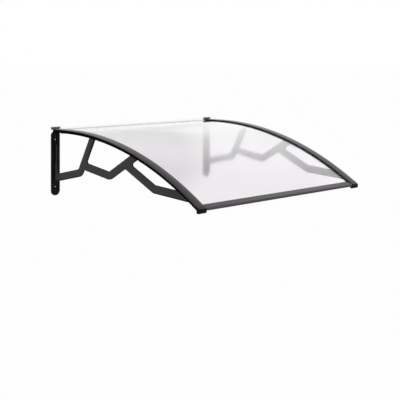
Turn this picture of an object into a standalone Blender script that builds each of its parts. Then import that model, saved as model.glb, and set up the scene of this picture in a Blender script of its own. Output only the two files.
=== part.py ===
"""Door canopy: two moulded lattice brackets carry a curved polycarbonate sheet under cover strips.

Lengths are metres, +Z is up. The wall is the plane Y = 0 and the canopy reaches out along -Y.
The origin is on the wall, midway between the brackets, level with the flat rear stretch of the
cover strips. In the functions below, reach is the distance out from the wall, depth is measured
square to the top of the cover strips, and out is the distance from a bracket's middle plane,
positive on the side away from the other bracket.
"""
import math

import bmesh
import bpy
from mathutils import Matrix, Vector

# Overall sizes
BRACKET_SPACING = 1.000
PROJECTION = 0.999
FLAT_RUN = 0.112
FRONT_DROP = 0.260
FIT_GAP = 0.0003

# Cover strip, from its crown downwards
STRIP_WIDTH = 0.043
STRIP_CROWN = 0.0010
STRIP_PLATE = 0.0026
STRIP_LIP_HEIGHT = 0.0021
STRIP_LIP_WALL = 0.0014
STRIP_LIP_BEVEL = 0.0005
STRIP_RIB_HEIGHT = 0.0024
STRIP_RIB_WIDTH = 0.007

# Sheet and the seals that hold it
SHEET_THICKNESS = 0.005
SHEET_OVERHANG = 0.004
CLAMP_SEAL_HEIGHT = 0.0016
BED_SEAL_HEIGHT = 0.0010
SHEET_WALL_GAP = 0.001

# Bracket rail under the sheet
RAIL_WIDTH = 0.026
RAIL_BASE = 0.0044
RAIL_CHAMFER = 0.001
TONGUE_HEIGHT = 0.0008
TONGUE_WIDTH = 0.0009

# Side seal over the outer side of the rail
EDGE_SEAL_THICKNESS = 0.0017
EDGE_SEAL_TOP = 0.0029
EDGE_SEAL_HEIGHT = 0.0148

# Wall plate of the bracket
PLATE_WIDTH = 0.048
PLATE_THICKNESS = 0.007
PLATE_DROP = 0.315
PLATE_CORNER = 0.011
PLATE_EDGE = 0.0015
HOLE_DIAMETER = 0.0055
COUNTERBORE_DIAMETER = 0.0120
COUNTERBORE_DEPTH = 0.003
UPPER_HOLE_DROP = 0.052
LOWER_HOLE_HEIGHT = 0.041

# Lattice web: its bars are thicker along their middle than at their rims
BAR_WIDTH = 0.035
WEB_THICKNESS = 0.011
RIM_THICKNESS = 0.007
BEVEL_WIDTH = 0.011
CUT_REACH = 0.001
RIB_THICKNESS = 0.008
RIB_REACH = 0.024
RIB_TOP_DROP = 0.066
RIB_TOP_SLOPE = 0.012
RIB_EDGE = 0.0012

# Where the lattice bars meet
ARM_HEIGHT = 0.081
ELBOW_REACH = 0.201
ELBOW_DEPTH = 0.1700
REAR_STRUT_TOP_REACH = 0.291
BRANCH_RUN = 0.0395
VALLEY_REACH = 0.4147
VALLEY_DEPTH = 0.1386
MIDDLE_STRUT_TOP_REACH = 0.586
FORK_RUN = 0.1222
FRONT_ELBOW_REACH = 0.710
FRONT_ELBOW_DEPTH = 0.0802
FRONT_RUN_END_SETBACK = 0.095
OUTER_ROUND = 0.029
ELBOW_FILLET = 0.014
INNER_FILLET = 0.009
SMALL_FILLET = 0.004

# Nose cap that closes the front end of the rail and the cover strip
NOSE_LENGTH = 0.0165
NOSE_HEIGHT = 0.019
NOSE_TOP_ROUND = 0.0025
NOSE_BOTTOM_ROUND = 0.007
NOSE_EDGE = 0.0012

# Cap at the wall end of the cover strip
REAR_CAP_LENGTH = 0.009
REAR_CAP_WALL = 0.0024
REAR_CAP_RISE = 0.0084
REAR_CAP_ROUND = 0.0018
REAR_CAP_EDGE = 0.0006

# Front bar, a hollow extrusion that grips the front edge of the sheet
BAR_DEPTH = 0.027
BAR_LOWER_DEPTH = 0.025
BAR_FACE_HEIGHT = 0.011
BAR_WALL = 0.0016
BAR_SETBACK = 0.002
BAR_ROUND = 0.0015
CUT_EDGE = 0.0002

# Clear seal along the wall
WALL_SEAL_FOOT = 0.015
WALL_SEAL_THICKNESS = 0.0014
WALL_SEAL_TIP = 0.0007
WALL_SEAL_RISE = 0.005

# Screws that pull the cover strip down from below the rail
SCREW_COUNT = 4
SCREW_DIAMETER = 0.0035
SCREW_HEAD_DIAMETER = 0.0058
SCREW_HEAD_HEIGHT = 0.0024
SCREW_HEAD_RIM = 0.0011
SCREW_HEAD_TOP_DIAMETER = 0.0035
SCREW_TIP_DIAMETER = 0.0011
SCREW_GRIP = 0.0028
WASHER_DIAMETER = 0.0066
WASHER_THICKNESS = 0.0008
FIRST_SCREW_REACH = 0.070
LAST_SCREW_SETBACK = 0.060

# Fineness of the curves
ARC_SEGMENTS = 32
CROWN_SEGMENTS = 6
CORNER_SAGITTA = 0.00005
SHORTEST_EDGE = 0.00001
ARC_CLEARANCE = 0.003
MITRE_LIMIT = 2.0
SMOOTH_ANGLE = math.radians(30)
HOLE_SEGMENTS = 20
SCREW_SEGMENTS = 12

# Worked out from the sizes above
ARC_RUN = PROJECTION - FLAT_RUN
ARC_RADIUS = (ARC_RUN ** 2 + FRONT_DROP ** 2) / (2 * FRONT_DROP)
BODY_END = PROJECTION - NOSE_LENGTH - FIT_GAP
ARC_STEP = math.asin((BODY_END - FLAT_RUN) / ARC_RADIUS) / ARC_SEGMENTS
STRIP_RIB_BOTTOM = STRIP_PLATE + STRIP_RIB_HEIGHT
STRIP_RIB_OUT = WEB_THICKNESS / 2 + FIT_GAP + WASHER_DIAMETER / 2
UPSTAND_TOP = STRIP_RIB_BOTTOM + FIT_GAP
CLAMP_SEAL_TOP = STRIP_RIB_BOTTOM + FIT_GAP
CLAMP_SEAL_BOTTOM = CLAMP_SEAL_TOP + CLAMP_SEAL_HEIGHT
SHEET_TOP = CLAMP_SEAL_BOTTOM + FIT_GAP
SHEET_BOTTOM = SHEET_TOP + SHEET_THICKNESS
BED_SEAL_TOP = SHEET_BOTTOM + FIT_GAP
BED_SEAL_BOTTOM = BED_SEAL_TOP + BED_SEAL_HEIGHT
RAIL_TOP = BED_SEAL_BOTTOM + FIT_GAP
RAIL_BOTTOM = RAIL_TOP + RAIL_BASE
PLATE_TOP = RAIL_TOP + FIT_GAP
RAIL_CORE = RAIL_TOP + 2 * FIT_GAP
RAIL_SKIN = RAIL_BOTTOM - FIT_GAP
WEB_ROOT = PLATE_THICKNESS / 2
FLARE_DEPTH = (WEB_THICKNESS - RIM_THICKNESS) / 2 + CUT_REACH
FLARE_WIDTH = BEVEL_WIDTH * FLARE_DEPTH / (FLARE_DEPTH - CUT_REACH)
RIM_ROUND = OUTER_ROUND + FLARE_WIDTH
BETWEEN_STRIPS = BRACKET_SPACING - STRIP_WIDTH - 2 * FIT_GAP

SIDES = (("left", -1), ("right", 1))


def clear_scene():
    for item in list(bpy.data.objects):
        bpy.data.objects.remove(item, do_unlink=True)


def make_material(name, colour, roughness, metallic=0.0, alpha=1.0):
    """Principled material from an sRGB hex colour."""
    channels = [int(colour[index:index + 2], 16) / 255 for index in (1, 3, 5)]
    linear = [value / 12.92 if value <= 0.04045 else ((value + 0.055) / 1.055) ** 2.4 for value in channels]
    material = bpy.data.materials.new(name)
    material.use_nodes = True
    shader = material.node_tree.nodes["Principled BSDF"]
    shader.inputs["Base Color"].default_value = (*linear, 1.0)
    shader.inputs["Roughness"].default_value = roughness
    shader.inputs["Metallic"].default_value = metallic
    shader.inputs["Alpha"].default_value = alpha
    return material


# The curve that every long piece follows

def height_at(reach, depth):
    """Height of the surface this deep below the strip's crown, at this distance from the wall."""
    if reach <= FLAT_RUN:
        return -depth
    radius = ARC_RADIUS - depth
    return -ARC_RADIUS + math.sqrt(radius ** 2 - (reach - FLAT_RUN) ** 2)


def arc_point(angle, depth):
    """Reach and height on the arc, at this angle from the flat stretch."""
    radius = ARC_RADIUS - depth
    return FLAT_RUN + radius * math.sin(angle), -ARC_RADIUS + radius * math.cos(angle)


def angle_at(reach, depth):
    return math.asin((reach - FLAT_RUN) / (ARC_RADIUS - depth))


def square_point(reach, depth):
    """Point this deep below the place on the crown that lies this far from the wall."""
    if reach <= FLAT_RUN:
        return reach, -depth
    return arc_point(angle_at(reach, 0.0), depth)


def flat_station(reach):
    return lambda depth: (reach, -depth)


def arc_station(angle):
    return lambda depth: arc_point(angle, depth)


def plumb_station(reach):
    return lambda depth: (reach, height_at(reach, depth))


def stations(start, end):
    """Cross-sections from the wall side to a plumb front end, with the same arc steps for every piece."""
    places = [flat_station(start), flat_station(FLAT_RUN)]
    last_angle = angle_at(end, 0.0) - ARC_STEP / 2
    steps = range(1, math.ceil(last_angle / ARC_STEP))
    places += [arc_station(step * ARC_STEP) for step in steps]
    places.append(plumb_station(end))
    return places


# Mesh helpers

def add_object(name, mesh, material, parent, location=(0, 0, 0), smooth=True):
    item = bpy.data.objects.new(name, mesh)
    bpy.context.scene.collection.objects.link(item)
    item.location = location
    item.parent = parent
    if material is not None and not mesh.materials:
        mesh.materials.append(material)
    if smooth:
        mesh.shade_smooth()
        mesh.set_sharp_from_angle(angle=SMOOTH_ANGLE)
    return item


def add_helper(name, mesh, parent, location=(0, 0, 0)):
    """A shape that only joins or cuts another one."""
    item = add_object(name, mesh, None, parent, location, smooth=False)
    item.hide_render = True
    item.display_type = "WIRE"
    return item


def add_boolean(item, operation, helper):
    modifier = item.modifiers.new(helper.name, "BOOLEAN")
    modifier.operation = operation
    modifier.solver = "EXACT"
    modifier.object = helper


def mesh_from(build, name):
    """Mesh from a bmesh, with all faces turned outwards."""
    bmesh.ops.recalc_face_normals(build, faces=build.faces)
    mesh = bpy.data.meshes.new(name)
    build.to_mesh(mesh)
    build.free()
    return mesh


def ring_faces(build, rings, closed=False):
    """Quads between neighbouring rings of vertices."""
    pairs = list(zip(rings, rings[1:]))
    if closed:
        pairs.append((rings[-1], rings[0]))
    for lower, upper in pairs:
        for index in range(len(lower)):
            after = (index + 1) % len(lower)
            build.faces.new((lower[index], lower[after], upper[after], upper[index]))


def sweep_mesh(name, section, start, end, side=1):
    """Carry a section of (out, depth) points along the curve from the wall to the front."""
    build = bmesh.new()
    rings = []
    for station in stations(start, end):
        ring = []
        for out, depth in section:
            reach, height = station(depth)
            ring.append(build.verts.new((side * out, -reach, height)))
        rings.append(ring)
    ring_faces(build, rings)
    build.faces.new(rings[0])
    build.faces.new(rings[-1])
    return mesh_from(build, name)


def turned_mesh(name, profile, segments):
    """Turn a closed profile of (radius, height) points that touches the Z axis at both ends."""
    build = bmesh.new()
    rings = []
    for step in range(segments):
        angle = math.tau * step / segments
        cos, sin = math.cos(angle), math.sin(angle)
        ring = [(radius * cos, radius * sin, height) for radius, height in profile[1:-1]]
        rings.append([build.verts.new(point) for point in ring])
    low = build.verts.new((0, 0, profile[0][1]))
    high = build.verts.new((0, 0, profile[-1][1]))
    for step in range(segments):
        here, after = rings[step], rings[(step + 1) % segments]
        build.faces.new((low, here[0], after[0]))
        build.faces.new((high, after[-1], here[-1]))
        for index in range(len(here) - 1):
            build.faces.new((here[index], here[index + 1], after[index + 1], after[index]))
    return mesh_from(build, name)


def washer_mesh(name, outer_radius, inner_radius, thickness, segments):
    """Flat ring standing on Z = 0."""
    build = bmesh.new()
    rings = []
    corners = ((inner_radius, 0), (outer_radius, 0), (outer_radius, thickness), (inner_radius, thickness))
    for step in range(segments):
        angle = math.tau * step / segments
        ring = [(radius * math.cos(angle), radius * math.sin(angle), height) for radius, height in corners]
        rings.append([build.verts.new(point) for point in ring])
    ring_faces(build, rings, closed=True)
    return mesh_from(build, name)


def signed_area(points):
    pairs = zip(points, points[1:] + points[:1])
    return sum(a[0] * b[1] - b[0] * a[1] for a, b in pairs) / 2


def oriented(points, counterclockwise):
    if (signed_area(points) > 0) == counterclockwise:
        return points
    return points[::-1]


def inset(points, distance):
    """Move an outline to its left by the distance, corner by corner."""
    moved = []
    count = len(points)
    for index in range(count):
        before, here, after = points[index - 1], points[index], points[(index + 1) % count]
        first = (Vector(here) - Vector(before)).normalized()
        second = (Vector(after) - Vector(here)).normalized()
        normal = Vector((-first.y - second.y, first.x + second.x)).normalized()
        mitre = min(1 / normal.dot(Vector((-first.y, first.x))), MITRE_LIMIT)
        moved.append(tuple(Vector(here) + normal * distance * mitre))
    return moved


def slab_mesh(name, outline, thickness, bevel_width, bevel_depth):
    """Flat piece centred on X = 0, its rims bevelled inwards, or outwards where the width is negative."""
    loop = oriented(outline, True)
    rim = inset(loop, bevel_width)
    outside = thickness / 2
    inside = outside - bevel_depth
    build = bmesh.new()
    layers = ((-outside, rim), (-inside, loop), (inside, loop), (outside, rim))
    rings = [[build.verts.new((x, -reach, z)) for reach, z in points] for x, points in layers]
    ring_faces(build, rings)
    build.faces.new(rings[0])
    build.faces.new(rings[-1])
    return mesh_from(build, name)


def round_corners(points):
    """Replace each (first, second, radius) corner with an arc of that radius, where it has one."""
    result = []
    count = len(points)
    for index in range(count):
        here = Vector(points[index][:2])
        radius = points[index][2]
        if radius == 0:
            result.append(tuple(here))
            continue
        to_before = (Vector(points[index - 1][:2]) - here).normalized()
        to_after = (Vector(points[(index + 1) % count][:2]) - here).normalized()
        half_angle = to_before.angle(to_after) / 2
        tangent = radius / math.tan(half_angle)
        centre = here + (to_before + to_after).normalized() * radius / math.sin(half_angle)
        start = here + to_before * tangent - centre
        turn = math.pi - 2 * half_angle
        if to_before.x * to_after.y > to_before.y * to_after.x:
            turn = -turn
        steps = math.ceil(abs(turn) / (2 * math.acos(1 - CORNER_SAGITTA / radius)))
        for step in range(steps + 1):
            angle = turn * step / steps
            cos, sin = math.cos(angle), math.sin(angle)
            spoke = Vector((start.x * cos - start.y * sin, start.x * sin + start.y * cos))
            if not result or (centre + spoke - Vector(result[-1])).length > SHORTEST_EDGE:
                result.append(tuple(centre + spoke))
    return result


# Bracket lattice, in the plane of (reach, height)

def bar_edge(start, end, offset):
    """Line along a bar, moved to the left of its run by the offset."""
    start, end = Vector(start), Vector(end)
    run = (end - start).normalized()
    return start + Vector((-run.y, run.x)) * offset, run


def crossing(first, second):
    """Point where two lines meet."""
    (first_point, first_run), (second_point, second_run) = first, second
    gap = second_point - first_point
    scale = first_run.x * second_run.y - first_run.y * second_run.x
    along = (gap.x * second_run.y - gap.y * second_run.x) / scale
    return first_point + first_run * along


def rail_crossing(line, depth):
    """Point where a line running up to the rail meets the surface that lies this deep."""
    point, run = line
    offset = point - Vector((FLAT_RUN, -ARC_RADIUS))
    radius = ARC_RADIUS - depth
    middle = offset.dot(run)
    along = -middle + math.sqrt(middle ** 2 - offset.length_squared + radius ** 2)
    hit = point + run * along
    if hit.x < FLAT_RUN:
        hit = point + run * ((-depth - point.y) / run.y)
    return hit


def arc_between(start, end, depth, shift=0.0):
    """Points at the shared arc steps, or shifted by a share of a step, clear of both reaches."""
    low, high = sorted((start, end))
    points = [arc_point((step + shift) * ARC_STEP, depth) for step in range(ARC_SEGMENTS + 1)]
    clear = [point for point in points if low + ARC_CLEARANCE < point[0] < high - ARC_CLEARANCE]
    return clear if start < end else clear[::-1]


def corner(point, radius=0.0):
    return point[0], point[1], radius


def hung_point(reach, depth):
    """Lattice point this far out and this far below the rail."""
    return Vector((reach, height_at(reach, RAIL_BOTTOM) - depth))


def lattice_lines():
    """Both edges of each lattice bar: left and right of its run from the wall outwards or upwards."""
    wall = Vector((0.0, -PLATE_DROP + ARM_HEIGHT))
    elbow = hung_point(ELBOW_REACH, ELBOW_DEPTH)
    rear_top = hung_point(REAR_STRUT_TOP_REACH, 0.0)
    branch = elbow + (rear_top - elbow).normalized() * BRANCH_RUN
    valley = hung_point(VALLEY_REACH, VALLEY_DEPTH)
    middle_top = hung_point(MIDDLE_STRUT_TOP_REACH, 0.0)
    fork = valley + (middle_top - valley).normalized() * FORK_RUN
    front_elbow = hung_point(FRONT_ELBOW_REACH, FRONT_ELBOW_DEPTH)
    front_end = hung_point(PROJECTION - FRONT_RUN_END_SETBACK, 0.0)
    bars = {
        "arm": (wall, elbow),
        "rear_strut": (elbow, rear_top),
        "falling_bar": (branch, valley),
        "middle_strut": (valley, middle_top),
        "front_fall": (fork, front_elbow),
        "front_run": (front_elbow, front_end),
    }
    upper = {name: bar_edge(start, end, BAR_WIDTH / 2) for name, (start, end) in bars.items()}
    lower = {name: bar_edge(start, end, -BAR_WIDTH / 2) for name, (start, end) in bars.items()}
    return upper, lower


def plumb_line(reach):
    return Vector((reach, 0.0)), Vector((0.0, 1.0))


def web_outline(lower):
    """Blank that the lattice is cut from: let into the wall plate behind and into the rail above.

    Its arc turns half way between the steps of its cutters, so that no edge of one runs into an edge
    of the other.
    """
    front = rail_crossing(lower["front_run"], (RAIL_CORE + RAIL_SKIN) / 2).x
    points = [corner((WEB_ROOT, -PLATE_DROP)), corner((front, -PLATE_DROP))]
    points.append(corner((front, height_at(front, RAIL_CORE))))
    points += [corner(point) for point in arc_between(front, FLAT_RUN, RAIL_CORE, 0.5)]
    points.append(corner((WEB_ROOT, -RAIL_CORE)))
    return round_corners(points)


def underside_outline(lower):
    """Space below the lattice, from behind the wall plate's face to past the front of the blank."""
    floor = -2 * PLATE_DROP
    behind = crossing(lower["arm"], plumb_line(-WEB_ROOT))
    past = crossing(lower["front_run"], plumb_line(PROJECTION))
    points = [
        corner((behind.x, floor)),
        corner((past.x, floor)),
        corner(past),
        corner(crossing(lower["front_run"], lower["front_fall"]), RIM_ROUND),
        corner(crossing(lower["front_fall"], lower["middle_strut"]), SMALL_FILLET),
        corner(crossing(lower["middle_strut"], lower["falling_bar"]), RIM_ROUND),
        corner(crossing(lower["falling_bar"], lower["rear_strut"]), SMALL_FILLET),
        corner(crossing(lower["rear_strut"], lower["arm"]), RIM_ROUND),
        corner(behind),
    ]
    return round_corners(points)


def rear_opening_outline(upper):
    """Space between the wall plate and the rear strut, above the arm."""
    strut_top = rail_crossing(upper["rear_strut"], RAIL_SKIN)
    arc_end = strut_top.x - fillet_length(upper["rear_strut"], strut_top, -1)
    points = [corner((-WEB_ROOT, -RAIL_SKIN)), corner((FLAT_RUN, -RAIL_SKIN))]
    points += [corner(point) for point in arc_between(FLAT_RUN, arc_end, RAIL_SKIN)]
    points += [
        corner(strut_top, SMALL_FILLET),
        corner(crossing(upper["rear_strut"], upper["arm"]), ELBOW_FILLET),
        corner(crossing(upper["arm"], plumb_line(-WEB_ROOT))),
    ]
    return round_corners(points)


def rib_mesh(name):
    """Rib up the middle of the wall plate, from inside the arm."""
    foot = -PLATE_DROP + ARM_HEIGHT
    points = [
        corner((WEB_ROOT, foot)),
        corner((RIB_REACH, foot)),
        corner((RIB_REACH, -RIB_TOP_DROP - RIB_TOP_SLOPE), SMALL_FILLET),
        corner((WEB_ROOT, -RIB_TOP_DROP)),
    ]
    return slab_mesh(name, round_corners(points), RIB_THICKNESS, RIB_EDGE, RIB_EDGE)


def fillet_length(line, hit, direction):
    """How far the fillet between a bar and the rail runs along the rail."""
    slope = angle_at(max(hit.x, FLAT_RUN), RAIL_BOTTOM)
    along_rail = Vector((math.cos(slope), -math.sin(slope))) * direction
    return SMALL_FILLET / math.tan(along_rail.angle(-line[1]) / 2)


def opening_outline(rail_start, rail_end, corners):
    """One lattice opening: the rail above it, then the corners between its bars."""
    start = rail_crossing(rail_start, RAIL_SKIN)
    end = rail_crossing(rail_end, RAIL_SKIN)
    arc_start = start.x + fillet_length(rail_start, start, 1)
    arc_end = end.x - fillet_length(rail_end, end, -1)
    points = [corner(start, SMALL_FILLET)]
    points += [corner(point) for point in arc_between(arc_start, arc_end, RAIL_SKIN)]
    points.append(corner(end, SMALL_FILLET))
    points += corners
    return round_corners(points)


def lattice_meshes():
    """The blank, and the flared cutters that leave its bars with bevelled rims."""
    upper, lower = lattice_lines()
    outlines = {
        "underside": underside_outline(lower),
        "rear_opening": rear_opening_outline(upper),
        "middle_opening": opening_outline(lower["rear_strut"], upper["middle_strut"], [
            corner(crossing(upper["middle_strut"], upper["falling_bar"]), SMALL_FILLET),
            corner(crossing(upper["falling_bar"], lower["rear_strut"]), INNER_FILLET),
        ]),
        "front_opening": opening_outline(lower["middle_strut"], upper["front_run"], [
            corner(crossing(upper["front_run"], upper["front_fall"]), INNER_FILLET),
            corner(crossing(upper["front_fall"], lower["middle_strut"]), INNER_FILLET),
        ]),
    }
    cutters = {
        label: slab_mesh(label, outline, WEB_THICKNESS + 2 * CUT_REACH, -FLARE_WIDTH, FLARE_DEPTH)
        for label, outline in outlines.items()
    }
    return slab_mesh("bracket", web_outline(lower), WEB_THICKNESS, CUT_EDGE, CUT_EDGE), cutters


def plate_mesh(name):
    """Wall plate with cut upper corners and a round lower end."""
    half = PLATE_WIDTH / 2
    points = [
        corner((-half, -PLATE_DROP), half),
        corner((half, -PLATE_DROP), half),
        corner((half, -PLATE_TOP - PLATE_CORNER)),
        corner((half - PLATE_CORNER, -PLATE_TOP)),
        corner((-half + PLATE_CORNER, -PLATE_TOP)),
        corner((-half, -PLATE_TOP - PLATE_CORNER)),
    ]
    build = bmesh.new()
    outline = oriented(round_corners(points), True)
    front = -PLATE_THICKNESS
    layers = ((0.0, outline), (front + PLATE_EDGE, outline), (front, inset(outline, PLATE_EDGE)))
    rings = [[build.verts.new((x, y, z)) for x, z in loop] for y, loop in layers]
    ring_faces(build, rings)
    build.faces.new(rings[0])
    build.faces.new(rings[-1])
    return mesh_from(build, name)


def rail_section():
    """Flat bed for the sheet, with an upstand that hides the sheet's side edge."""
    half = RAIL_WIDTH / 2
    upstand = SHEET_OVERHANG + FIT_GAP
    step_out = half - TONGUE_WIDTH - FIT_GAP
    step_depth = UPSTAND_TOP + TONGUE_HEIGHT + FIT_GAP
    return [
        (-half, RAIL_TOP),
        (upstand, RAIL_TOP),
        (upstand, UPSTAND_TOP),
        (step_out, UPSTAND_TOP),
        (step_out, step_depth),
        (half, step_depth),
        (half, RAIL_BOTTOM - RAIL_CHAMFER),
        (half - RAIL_CHAMFER, RAIL_BOTTOM),
        (-half + RAIL_CHAMFER, RAIL_BOTTOM),
        (-half, RAIL_BOTTOM - RAIL_CHAMFER),
    ]


def cylinder_mesh(name, radius, length, segments):
    """Closed cylinder from Z = 0 upwards."""
    profile = [(0, 0), (radius, 0), (radius, length), (0, length)]
    return turned_mesh(name, profile, segments)


def joined_mesh(name, pieces):
    """One mesh from (mesh, matrix) pairs that stay clear of each other."""
    build = bmesh.new()
    for mesh, matrix in pieces:
        start = len(build.verts)
        build.from_mesh(mesh)
        build.verts.ensure_lookup_table()
        for vert in build.verts[start:]:
            vert.co = matrix @ vert.co
    return mesh_from(build, name)


def plate_hole_heights():
    return -UPPER_HOLE_DROP, -PLATE_DROP + LOWER_HOLE_HEIGHT


def plate_hole_mesh(name):
    """Through holes with a flat-bottomed recess for each screw head."""
    seat = PLATE_THICKNESS - COUNTERBORE_DEPTH
    profile = [
        (0, -PLATE_THICKNESS),
        (HOLE_DIAMETER / 2, -PLATE_THICKNESS),
        (HOLE_DIAMETER / 2, seat),
        (COUNTERBORE_DIAMETER / 2, seat),
        (COUNTERBORE_DIAMETER / 2, 2 * PLATE_THICKNESS),
        (0, 2 * PLATE_THICKNESS),
    ]
    hole = turned_mesh("hole", profile, HOLE_SEGMENTS)
    facing_out = Matrix.Rotation(math.radians(90), 4, "X")
    places = [Matrix.Translation((0, 0, height)) @ facing_out for height in plate_hole_heights()]
    return joined_mesh(name, [(hole, place) for place in places])


# Screws that hold the cover strip

def screw_reaches():
    """Evenly spaced from the wall to the front."""
    first = FIRST_SCREW_REACH
    last = BODY_END - LAST_SCREW_SETBACK
    return [first + (last - first) * index / (SCREW_COUNT - 1) for index in range(SCREW_COUNT)]


def square_to_rail(reach, depth, side):
    """Frame below the strip's outer rib with its Z axis square to the rail."""
    angle = angle_at(max(reach, FLAT_RUN), 0.0)
    out_from_wall, height = square_point(reach, depth)
    place = Matrix.Translation((side * STRIP_RIB_OUT, -out_from_wall, height))
    return place @ Matrix.Rotation(angle, 4, "X")


def screw_hole_mesh(name, side):
    """Clearance holes through the rail, ending as pilot holes in the strip's rib."""
    below = RAIL_BASE
    length = below + RAIL_BOTTOM - STRIP_RIB_BOTTOM + SCREW_GRIP + FIT_GAP
    hole = cylinder_mesh("hole", SCREW_DIAMETER / 2 + FIT_GAP, length, SCREW_SEGMENTS)
    pieces = [(hole, square_to_rail(reach, RAIL_BOTTOM + below, side)) for reach in screw_reaches()]
    return joined_mesh(name, pieces)


def screw_mesh(name):
    """Pan-head screw, its head below Z = 0 and its shank above."""
    shank = WASHER_THICKNESS + 2 * FIT_GAP + RAIL_BOTTOM - STRIP_RIB_BOTTOM + SCREW_GRIP
    head = SCREW_HEAD_DIAMETER / 2
    radius = SCREW_DIAMETER / 2
    profile = [
        (0, -SCREW_HEAD_HEIGHT),
        (SCREW_HEAD_TOP_DIAMETER / 2, -SCREW_HEAD_HEIGHT),
        (head, -SCREW_HEAD_RIM),
        (head, 0),
        (radius, 0),
        (radius, shank - radius),
        (SCREW_TIP_DIAMETER / 2, shank),
        (0, shank),
    ]
    return turned_mesh(name, profile, SCREW_SEGMENTS)


# Sub-parts

def add_bracket(name, side, material, parent):
    place = (side * BRACKET_SPACING / 2, 0, 0)
    blank, cutters = lattice_meshes()
    bracket = add_object(f"{name}_bracket", blank, material, parent, place)
    rail = sweep_mesh("rail", rail_section(), SHEET_WALL_GAP, BODY_END, side)
    steps = [(label, "DIFFERENCE", mesh) for label, mesh in cutters.items()]
    steps += [
        ("wall_plate", "UNION", plate_mesh("wall_plate")),
        ("rib", "UNION", rib_mesh("rib")),
        ("rail", "UNION", rail),
        ("plate_holes", "DIFFERENCE", plate_hole_mesh("plate_holes")),
        ("rail_holes", "DIFFERENCE", screw_hole_mesh("rail_holes", side)),
    ]
    for label, operation, mesh in steps:
        add_boolean(bracket, operation, add_helper(f"{name}_{label}", mesh, parent, place))


def strip_section():
    """Crowned plate with small edge lips and two ribs below."""
    half = STRIP_WIDTH / 2
    outs = [half * (2 * step / CROWN_SEGMENTS - 1) for step in range(CROWN_SEGMENTS + 1)]
    crown = [(out, STRIP_CROWN * (out / half) ** 2) for out in outs]
    crown[0] = (-half + STRIP_LIP_BEVEL, STRIP_CROWN)
    crown[-1] = (half - STRIP_LIP_BEVEL, STRIP_CROWN)
    lip_bottom = STRIP_CROWN + STRIP_LIP_HEIGHT
    rib_in = STRIP_RIB_OUT - STRIP_RIB_WIDTH / 2
    rib_out = STRIP_RIB_OUT + STRIP_RIB_WIDTH / 2
    under = [
        (half, STRIP_CROWN + STRIP_LIP_BEVEL),
        (half, lip_bottom),
        (half - STRIP_LIP_WALL, lip_bottom),
        (half - STRIP_LIP_WALL, STRIP_PLATE),
        (rib_out, STRIP_PLATE),
        (rib_out, STRIP_RIB_BOTTOM),
        (rib_in, STRIP_RIB_BOTTOM),
        (rib_in, STRIP_PLATE),
    ]
    mirrored = [(-out, depth) for out, depth in reversed(under)]
    return crown + under + mirrored


def add_cover_strip(name, side, material, parent):
    place = (side * BRACKET_SPACING / 2, 0, 0)
    start = SHEET_WALL_GAP + REAR_CAP_WALL + FIT_GAP
    mesh = sweep_mesh("cover_strip", strip_section(), start, BODY_END, side)
    strip = add_object(f"{name}_cover_strip", mesh, material, parent, place)
    holes = add_helper(f"{name}_pilot_holes", screw_hole_mesh("pilot_holes", side), parent, place)
    add_boolean(strip, "DIFFERENCE", holes)
    return strip


def add_seals(name, side, material, parent):
    """Clamp seal above the sheet, bed seal below it, and the side seal over the rail."""
    place = (side * BRACKET_SPACING / 2, 0, 0)
    rib_in = -STRIP_RIB_OUT - STRIP_RIB_WIDTH / 2
    rib_out = -STRIP_RIB_OUT + STRIP_RIB_WIDTH / 2
    clamp = [
        (rib_in, CLAMP_SEAL_TOP),
        (rib_out, CLAMP_SEAL_TOP),
        (rib_out, CLAMP_SEAL_BOTTOM),
        (rib_in, CLAMP_SEAL_BOTTOM),
    ]
    bed = [
        (-RAIL_WIDTH / 2, BED_SEAL_TOP),
        (SHEET_OVERHANG, BED_SEAL_TOP),
        (SHEET_OVERHANG, BED_SEAL_BOTTOM),
        (-RAIL_WIDTH / 2, BED_SEAL_BOTTOM),
    ]
    inside = RAIL_WIDTH / 2 + FIT_GAP
    outside = inside + EDGE_SEAL_THICKNESS
    tongue = RAIL_WIDTH / 2 - TONGUE_WIDTH
    edge = [
        (inside, EDGE_SEAL_TOP),
        (outside, EDGE_SEAL_TOP),
        (outside, EDGE_SEAL_TOP + EDGE_SEAL_HEIGHT),
        (inside, EDGE_SEAL_TOP + EDGE_SEAL_HEIGHT),
        (inside, UPSTAND_TOP + TONGUE_HEIGHT),
        (tongue, UPSTAND_TOP + TONGUE_HEIGHT),
        (tongue, UPSTAND_TOP),
        (inside, UPSTAND_TOP),
    ]
    runs = (
        ("clamp_seal", clamp, SHEET_WALL_GAP),
        ("bed_seal", bed, SHEET_WALL_GAP),
        ("edge_seal", edge, PLATE_THICKNESS + FIT_GAP),
    )
    for label, section, start in runs:
        mesh = sweep_mesh(label, section, start, BODY_END, side)
        add_object(f"{name}_{label}", mesh, material, parent, place)


def add_nose_cap(name, side, material, parent):
    rear = PROJECTION - NOSE_LENGTH
    front_top = height_at(PROJECTION, 0.0)
    bottom = front_top - NOSE_HEIGHT
    points = [
        corner((rear, height_at(rear, 0.0))),
        corner((rear, bottom), NOSE_BOTTOM_ROUND),
        corner((PROJECTION, bottom), NOSE_BOTTOM_ROUND),
        corner((PROJECTION, front_top), NOSE_TOP_ROUND),
    ]
    mesh = slab_mesh("nose_cap", round_corners(points), STRIP_WIDTH, NOSE_EDGE, NOSE_EDGE)
    add_object(f"{name}_nose_cap", mesh, material, parent, (side * BRACKET_SPACING / 2, 0, 0))


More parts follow.
